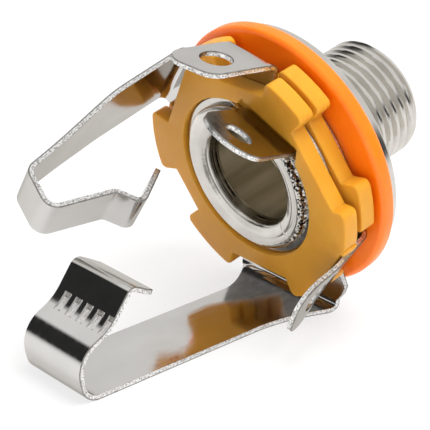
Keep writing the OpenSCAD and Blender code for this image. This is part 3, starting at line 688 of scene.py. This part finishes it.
# The arm narrows to its neck along half a cosine wave of the depth, and stays narrow in the hook
neck = np.clip((RING_NECK_START - ring_z) / RING_NECK_L, 0, 1)
neck[np.argmin(ring_z):] = 1
ring_half = (RING_ARM_W + (RING_NECK_W - RING_ARM_W) * (1 - np.cos(np.pi * neck)) / 2) / 2
ring_arm, ring_inner = [
    turned(made, RING_TURN)
    for made in arm_blank(ring_rows, -ring_half, ring_half, RING_END_CUT)]
ring_foot = np.sqrt(SPRING_RING ** 2 - ring_half[0] ** 2)
ring_foot = turned([[ring_foot, -ring_half[0]], [ring_foot, ring_half[0]]], RING_TURN)
ring_lug = solder_lug(RING_LUG_TURN, RING_MID, SPRING_RING, RING_LUG_REACH, RING_LUG_LEAN,
                      RING_LUG_L, LUG_END, LUG_W, RING_LUG_SHIFT, LUG_HOLE, LUG_ROUND,
                      RING_LUG_SKEW, RING_LUG_SLANT)
ring_outline = np.concatenate([
    ring_foot[:1], ring_arm, ring_foot[1:],
    arc_between(SPRING_RING, angle_of(ring_foot[1]), angle_of(ring_lug[0][0])),
    ring_lug[0],
    arc_between(SPRING_RING, angle_of(ring_lug[0][-1]), angle_of(ring_foot[0]) + 360)])
ring_folds = [(RING_TURN, 0, ring_path, RING_ROOT_HALF, ring_start), ring_lug[3]]
points, faces, cut_faces = stamping(
    [ring_outline, circle(SPRING_HOLE, 96), ring_lug[1]], np.concatenate([ring_inner, ring_lug[2]]),
    SHEET, lambda xy, h: bend_sheet(xy, h, RING_MID, ring_folds), CUT_ROUGH, 12)
ring_spring = body("ring_contact_spring", points, faces, strip_metal, 20, cut_faces)
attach(ring_spring, "root")
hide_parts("ring_spring")

# Front wafer: a hexagonal insulator moulded in amber resin and clamped between the two springs.
# It has tabs, between which the arms and lugs pass, and a hub inside the tip spring.
WAFER_FLAT, WAFER_R, TAB_ROUND, SIDE_GAP = 8.0, 10.05, 0.5, 0.3
HUB_R, HUB_RISE, HUB_BEVEL, STACK_BORE, MOULD_EDGE = 5.5, 0.35, 0.05, 4.55, 0.13
FRONT_Z, FRONT_BACK = -2.5, -3.85


def polar(radius, degrees):
    """Plane point at a radius and an angle."""
    return radius * np.array([math.cos(math.radians(degrees)), math.sin(math.radians(degrees))])


def hexagon(degrees):
    """Distance of the wafer's hexagon from the axis: flat / cos of the angle from its middle."""
    return WAFER_FLAT / math.cos(math.radians(degrees - 60 * round(degrees / 60)))


def tab(start, end):
    """One tab of the rim between two angles: straight sides and rounded outer corners."""
    inset = math.degrees(math.asin(TAB_ROUND / (WAFER_R - TAB_ROUND)))
    first, last = polar(WAFER_R - TAB_ROUND, start + inset), polar(WAFER_R - TAB_ROUND, end - inset)
    return np.concatenate([
        line(polar(hexagon(start), start), polar(WAFER_R - TAB_ROUND, start), 4)[:-1],
        arc(first, TAB_ROUND, start - 90, start + inset, 8),
        arc_between(WAFER_R, start + inset, end - inset, 2),
        arc(last, TAB_ROUND, end - inset, end + 90, 8),
        line(polar(WAFER_R - TAB_ROUND, end), polar(hexagon(end), end), 4)[1:]])


def wafer_rim(gaps):
    """Outline of a wafer: tabs between its gaps, and the hexagon's sides inside the gaps."""
    parts = []
    for (m0, h0), (m1, h1) in zip(gaps, gaps[1:]):
        parts.append(tab(m0 + h0, m1 - h1))
        corners = [m1 - h1] + [v for v in range(30, 391, 60)
                               if m1 - h1 + 0.5 < v < m1 + h1 - 0.5] + [m1 + h1]
        chain = [polar(hexagon(v), v) for v in corners]
        sides = [line(a, b, max(2, int(np.linalg.norm(b - a) / 0.4)) + 1)[:-1]
                 for a, b in zip(chain, chain[1:])]
        parts.append(np.concatenate(sides)[1:])
    return np.concatenate(parts)


def gap_half(width, radius):
    """Half angle that a strip takes with its side gaps at a radius."""
    return math.degrees(math.asin((width / 2 + SIDE_GAP) / radius))


def shift_angle(shift, radius):
    """Angle by which a sideways offset turns a strip's middle at a radius."""
    return math.degrees(math.asin(shift / radius))


def skin_between(loops, levels, caps):
    """Closed skin from strips and flat caps. A strip is (loop, [(inset, z), ...]) and joins its
    levels down the loop. A cap is (outer strip, its level, hole strip, its level, faces up)."""
    points, faces, starts = [], [], []
    total = 0
    for loop, steps in zip(loops, levels):
        n, draw = len(loop), inward(loop)
        starts.append([])
        for inset, z in steps:
            starts[-1].append(total)
            points.append(np.column_stack([loop + draw * inset, np.full(n, z)]))
            total += n
        i, j = np.arange(n), (np.arange(n) + 1) % n
        for a, b in zip(starts[-1], starts[-1][1:]):
            faces += np.column_stack([a + i, b + i, b + j, a + j]).tolist()
    for outer, level, hole, hole_level, up in caps:
        a, b = starts[outer][level], starts[hole][hole_level]
        n, m = len(loops[outer]), len(loops[hole])
        every = np.concatenate(points)
        rim, inner = every[a:a + n, :2], every[b:b + m, :2]
        if np.cross(inner[1] - inner[0], inner[2] - inner[1]) > 0:
            inner = inner[::-1]
            index = np.concatenate([a + np.arange(n), b + np.arange(m)[::-1]])
        else:
            index = np.concatenate([a + np.arange(n), b + np.arange(m)])
        _, cap = flat_mesh([rim, inner])
        cap = index[cap]
        faces += (cap if up else cap[:, ::-1]).tolist()
    return np.concatenate(points), faces


def rounded(front, back, edge=MOULD_EDGE):
    """Insets and heights down a moulded edge, a quarter circle at each end."""
    a = np.radians([0, 30, 60, 90])
    top = [(edge * (1 - math.sin(t)), front - edge * (1 - math.cos(t))) for t in a]
    low = [(edge * (1 - math.sin(t)), back + edge * (1 - math.cos(t))) for t in a[::-1]]
    return top + low


def hub_wall(foot):
    """Insets and heights down the outer wall of a hub, with a small bevel at its top."""
    return [(HUB_BEVEL, foot + HUB_RISE), (0, foot + HUB_RISE - HUB_BEVEL), (0, foot)]


def tip_lug_gap(before, after):
    """Gap for the tip spring's lug, widened by so many degrees on either side."""
    middle = TIP_LUG_TURN + shift_angle(TIP_LUG_SHIFT, TIP_LUG_REACH)
    half = gap_half(LUG_W, TIP_LUG_REACH - SHEET)
    return middle + (after - before) / 2, half + (after + before) / 2


# Each gap of a rim is its middle and its half width, in degrees
tip_gap, wide_gap = (0, gap_half(TIP_ARM_W, WAFER_R)), (62.5, 12.5)
front_rim = wafer_rim([
    tip_gap, wide_gap, (120.5, 15.5), (183.5, 17), (242, 17), tip_lug_gap(4.5, 0),
    (360, tip_gap[1])])

amber, tree, surface = material("amber moulded resin")
# Translucent resin: honey colour that deepens where it is thick, waxy gloss, faint flow marks
FLOW, RESIN_GRAIN = 5.882, 0.2857
where = add(tree, "ShaderNodeTexCoord").outputs["Object"]
flow = add(tree, "ShaderNodeTexNoise", {
    "Vector": where, "Scale": waves(FLOW), "Detail": 4.0, "Distortion": 0.6})
grain = add(tree, "ShaderNodeTexNoise", {
    "Vector": where, "Scale": waves(RESIN_GRAIN), "Detail": 3.0})
tint = add(tree, "ShaderNodeMixRGB", {
    "Fac": flow.outputs["Fac"], "Color1": colour("#C48418"), "Color2": colour("#DCA034")})
rough = add(tree, "ShaderNodeMapRange", {
    "Value": grain.outputs["Fac"], "To Min": 0.34, "To Max": 0.5})
relief = add(tree, "ShaderNodeBump", {
    "Height": grain.outputs["Fac"], "Strength": 0.12, "Distance": 0.04 * MM})
resin = add(tree, "ShaderNodeBsdfPrincipled", {
    "Base Color": tint.outputs[0], "Roughness": rough.outputs[0], "Normal": relief.outputs[0],
    "IOR": 1.5, "Specular IOR Level": 0.35, "Subsurface Weight": 0.4,
    "Subsurface Radius": (1.0, 0.62, 0.16), "Subsurface Scale": 1.6 * MM})
tree.links.new(resin.outputs[0], surface.inputs["Surface"])

hub_rim, bore_rim = circle(HUB_R, 96)[::-1], circle(STACK_BORE, 96)
points, faces = skin_between(
    [front_rim, hub_rim, bore_rim],
    [rounded(FRONT_Z, FRONT_BACK), hub_wall(FRONT_Z), [(0, FRONT_Z + HUB_RISE), (0, FRONT_BACK)]],
    [(0, 0, 1, 2, True), (1, 0, 2, 0, True), (0, 7, 2, 1, False)])
front_wafer = body("front_amber_wafer", points, faces, [amber], 60)
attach(front_wafer, "root")
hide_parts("front_wafer")

# Rear wafer: moulded like the front one, with its hub inside the ring spring. It has a seat for
# the tip spring's lug and, on its back, a pocket for the sleeve terminal.
REAR_Z, REAR_BACK, POCKET_Z, POCKET_R, POCKET_END = -4.25, -5.6, -4.8, 6.5, 6.8
TERMINAL_TURN, TERMINAL_SHIFT, TERMINAL_W = 206, 0.65, 5.0
SEAT_R, SEAT_CUT, SEAT_LEAN, SEAT = TIP_LUG_REACH + 0.5, 9.265, 0.2, (-3.4, -2.8, 2.2, 3.1)
rear_rim = wafer_rim([
    tip_gap, wide_gap, (RING_TURN, gap_half(RING_ARM_W, RING_REACH - SHEET)),
    (RING_LUG_TURN + shift_angle(RING_LUG_SHIFT, RING_LUG_REACH),
     gap_half(LUG_W, RING_LUG_REACH - SHEET)),
    (246, 21), tip_lug_gap(0, 4.2), (360, tip_gap[1])])
# It fills its gap behind the tip spring's lug with a seat, whose four corners across the lug are
# in SEAT and whose back follows the lug's lean
across = turned(rear_rim, -TIP_LUG_TURN)
under = (across[:, 0] > 0) & (across[:, 0] < SEAT_R)
under &= (across[:, 1] > SEAT[0]) & (across[:, 1] < SEAT[3])
seat = refined(np.array([
    (9.4, SEAT[0]), (SEAT_R, SEAT[0]), (SEAT_R, SEAT[1]), (SEAT_CUT, SEAT[1]),
    (SEAT_CUT, SEAT[2]), (SEAT_R, SEAT[2]), (SEAT_R, SEAT[3]), (9.05, SEAT[3])]), 0.5)
rear_rim = np.roll(rear_rim, -1 - np.flatnonzero(under)[-1], 0)[:-under.sum()]
rear_rim = np.concatenate([rear_rim, turned(seat, TIP_LUG_TURN)])

notch_half = TERMINAL_W / 2 + SIDE_GAP
notch = [TERMINAL_SHIFT - notch_half, TERMINAL_SHIFT + notch_half]
lean_in = [math.degrees(math.asin(v / POCKET_R)) for v in notch]
pocket_rim = turned(np.concatenate([
    [[POCKET_END, v] for v in (notch[0], TERMINAL_SHIFT, notch[1])],
    arc_between(POCKET_R, lean_in[1], 360 + lean_in[0], 3)]), TERMINAL_TURN)
points, faces = skin_between(
    [rear_rim, hub_rim, bore_rim, pocket_rim],
    [rounded(REAR_Z, REAR_BACK), hub_wall(REAR_Z), [(0, REAR_Z + HUB_RISE), (0, POCKET_Z)],
     [(0, POCKET_Z), (0, REAR_BACK + 0.06), (-0.06, REAR_BACK)]],
    [(0, 0, 1, 2, True), (1, 0, 2, 0, True), (0, 7, 3, 2, False), (3, 0, 2, 1, False)])
across = turned(points[:, :2], -TIP_LUG_TURN)
on_seat = np.abs(across[:, 0] - SEAT_CUT) < 0.2
on_seat &= (across[:, 1] > SEAT[1]) & (across[:, 1] < SEAT[2])
across[:, 0] -= on_seat * (points[:, 2] - (REAR_Z + REAR_BACK) / 2) * SEAT_LEAN
points[:, :2] = turned(across, TIP_LUG_TURN)
rear_wafer = body("rear_amber_wafer", points, faces, [amber], 60)
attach(rear_wafer, "root")
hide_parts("rear_wafer")

# Sleeve terminal: a ring stamped from nickel-plated sheet that lies under the rolled lip, cut
# straight where its solder lug folds back over the mouth of the bushing.
TERMINAL_R, TERMINAL_T, TERMINAL_MID, TERMINAL_FOLD = 6.4, 0.4, -5.0, 5.22
TERMINAL_REACH, TERMINAL_LEAN, TERMINAL_L, TERMINAL_END = 5.6, 35, 5.75, 2.8
TERMINAL_HOLE, TERMINAL_ROUND, TERMINAL_SKEW, TERMINAL_ROUGH = 1.08, 2.5, 5, 0.015
terminal_lug = solder_lug(
    TERMINAL_TURN, TERMINAL_MID, TERMINAL_R, TERMINAL_REACH, TERMINAL_LEAN, TERMINAL_L,
    TERMINAL_END, TERMINAL_W, TERMINAL_SHIFT, TERMINAL_HOLE, TERMINAL_ROUND, TERMINAL_SKEW)
# The ring is cut straight along the fold, from one side of the circle to the other
cut = math.degrees(math.acos(TERMINAL_FOLD / TERMINAL_R))
chord_end = TERMINAL_R * math.sin(math.radians(cut))
terminal_outline = np.concatenate([
    terminal_lug[0],
    turned(np.concatenate([
        [[TERMINAL_FOLD, chord_end]], arc_between(TERMINAL_R, cut, 360 - cut, 3),
        [[TERMINAL_FOLD, -chord_end]]]), TERMINAL_TURN)])

terminal_plate, tree, surface = material("nickel plate on stamped sheet")
# Stamped and tumbled sheet: the same plate as the springs, a little softer in its gloss
PITS = 0.6667
where = add(tree, "ShaderNodeTexCoord").outputs["Object"]
pits = add(tree, "ShaderNodeTexNoise", {"Vector": where, "Scale": waves(PITS), "Detail": 4.0})
tint = add(tree, "ShaderNodeMixRGB", {
    "Fac": pits.outputs["Fac"], "Color1": colour("#C4C1BB"), "Color2": colour("#D8D5D0")})
plated(tree, surface, tint.outputs[0], pits.outputs["Fac"], (0.1, 0.2), 0.05, STRIP_SHEEN)

points, faces, cut_faces = stamping(
    [terminal_outline, circle(STACK_BORE, 96), terminal_lug[1]], terminal_lug[2], TERMINAL_T,
    lambda xy, h: bend_sheet(xy, h, TERMINAL_MID, [terminal_lug[3]]), TERMINAL_ROUGH, 13)
terminal = body("sleeve_terminal_ring", points, faces, [terminal_plate, land, sheared], 20,
                cut_faces)
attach(terminal, "root")
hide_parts("sleeve_terminal")

# Table, light and camera: the jack lies on the outer face of its tip spring on a white
# table, in a white studio with darker corners for the metal to reflect.
TABLE_GAP, TABLE_HALF, AIM, EYE = 0.02, 400, (0, 0, -6), (-66.98, -81.54, -72.94)
EYE_RIGHT, EYE_AHEAD = np.array([0.1426, -0.6827, 0.7167]), np.array([0.5507, 0.6564, 0.5156])
down = unit(np.array([TIP_MID - TIP_DEPTH, 0.0, TIP_KNEE - TIP_REACH]))
side = np.array([0.0, 1.0, 0.0])
along = unit(np.cross(down, side))
table_at = TIP_REACH * down[0] + TIP_MID * down[2] + SHEET / 2 + TABLE_GAP
corners = [down * table_at + along * a * TABLE_HALF + side * b * TABLE_HALF
           for a, b in ((-1, -1), (1, -1), (1, 1), (-1, 1))]
white, tree, surface = material("white table")
# To the camera and in the metal it is lit paper white with the soft shadow left in it, and from
# below nothing of it shows
path = add(tree, "ShaderNodeLightPath").outputs
seen = add(tree, "ShaderNodeMath", {0: path["Is Camera Ray"], 1: path["Is Glossy Ray"]},
           operation="MAXIMUM").outputs[0]
paper = add(tree, "ShaderNodeBsdfDiffuse", {"Color": (0.9, 0.9, 0.9, 1)})
lit = add(tree, "ShaderNodeEmission", {"Color": (1, 1, 1, 1), "Strength": 0.99})
both = add(tree, "ShaderNodeMixShader", {0: 0.7, 1: paper.outputs[0], 2: lit.outputs[0]})
shown = add(tree, "ShaderNodeMixShader", {0: seen, 1: paper.outputs[0], 2: both.outputs[0]})
back = add(tree, "ShaderNodeNewGeometry").outputs["Backfacing"]
clear = add(tree, "ShaderNodeBsdfTransparent")
one_sided = add(tree, "ShaderNodeMixShader", {0: back, 1: shown.outputs[0], 2: clear.outputs[0]})
tree.links.new(one_sided.outputs[0], surface.inputs["Surface"])
table = body("table", corners, [[0, 1, 2, 3]], [white])

world = bpy.data.worlds.new("white studio")
bpy.context.scene.world = world
world.use_nodes = True
tree = world.node_tree
tree.nodes.clear()
path = add(tree, "ShaderNodeLightPath").outputs
sky = add(tree, "ShaderNodeBackground", {"Color": (1, 1, 1, 1), "Strength": 0.55})
seen = add(tree, "ShaderNodeBackground", {"Color": (1, 1, 1, 1), "Strength": 1.0})
# The metal sees a white room with two dark corners and a grey one, set by direction
way = add(tree, "ShaderNodeTexCoord").outputs["Generated"]
room_light = 0.9
for corner, inner, outer, least in (
        ((-0.567, 0.668, -0.481), 0.95, 0.90, 0.03), ((0.15, -0.84, 0.52), 0.97, 0.90, 0.03),
        ((0.62, 0.62, -0.48), 0.97, 0.70, 0.36)):
    near = add(tree, "ShaderNodeVectorMath", {0: way, 1: corner}, operation="DOT_PRODUCT")
    shade = add(tree, "ShaderNodeMapRange", {
        "Value": near.outputs["Value"], "From Min": outer, "From Max": inner,
        "To Min": 1.0, "To Max": least})
    room_light = add(tree, "ShaderNodeMath", {0: room_light, 1: shade.outputs[0]},
                     operation="MULTIPLY").outputs[0]
room = add(tree, "ShaderNodeBackground", {"Color": (1, 1, 1, 1), "Strength": room_light})
glossy = add(tree, "ShaderNodeMixShader", {
    0: path["Is Glossy Ray"], 1: sky.outputs[0], 2: room.outputs[0]})
final = add(tree, "ShaderNodeMixShader", {
    0: path["Is Camera Ray"], 1: glossy.outputs[0], 2: seen.outputs[0]})
add(tree, "ShaderNodeOutputWorld", {"Surface": final.outputs[0]})


def standing(place, across, ahead):
    """Matrix, in metres, of a lamp or camera at a place, with its right side and its view."""
    columns = [across, np.cross(across, ahead), -ahead, np.array(place) * MM]
    return Matrix([*np.column_stack(columns).tolist(), [0, 0, 0, 1]])


for name, place, size, power in (
        ("key softbox", (-150, -60, 40), 120, 0.32),
        ("fill softbox", (-40, -160, -90), 140, 0.10),
        ("rim softbox", (-150, 60, 110), 100, 0.14)):
    lamp = bpy.data.lights.new(name, "AREA")
    lamp.size, lamp.energy = size * MM, power
    holder = bpy.data.objects.new(name, lamp)
    ahead = unit(np.array(AIM) - place)
    holder.matrix_world = standing(place, unit(np.cross(ahead, (0, 0, 1))), ahead)
    holder.visible_glossy = False
    bpy.context.scene.collection.objects.link(holder)

camera = bpy.data.cameras.new("camera")
camera.sensor_width, camera.lens = 36, 142.33
camera.clip_start, camera.clip_end = 0.005, 5
viewer = bpy.data.objects.new("camera", camera)
viewer.matrix_world = standing(EYE, unit(EYE_RIGHT), unit(EYE_AHEAD))
bpy.context.scene.collection.objects.link(viewer)
bpy.context.scene.camera = viewer
bpy.context.scene.view_settings.view_transform = "Standard"
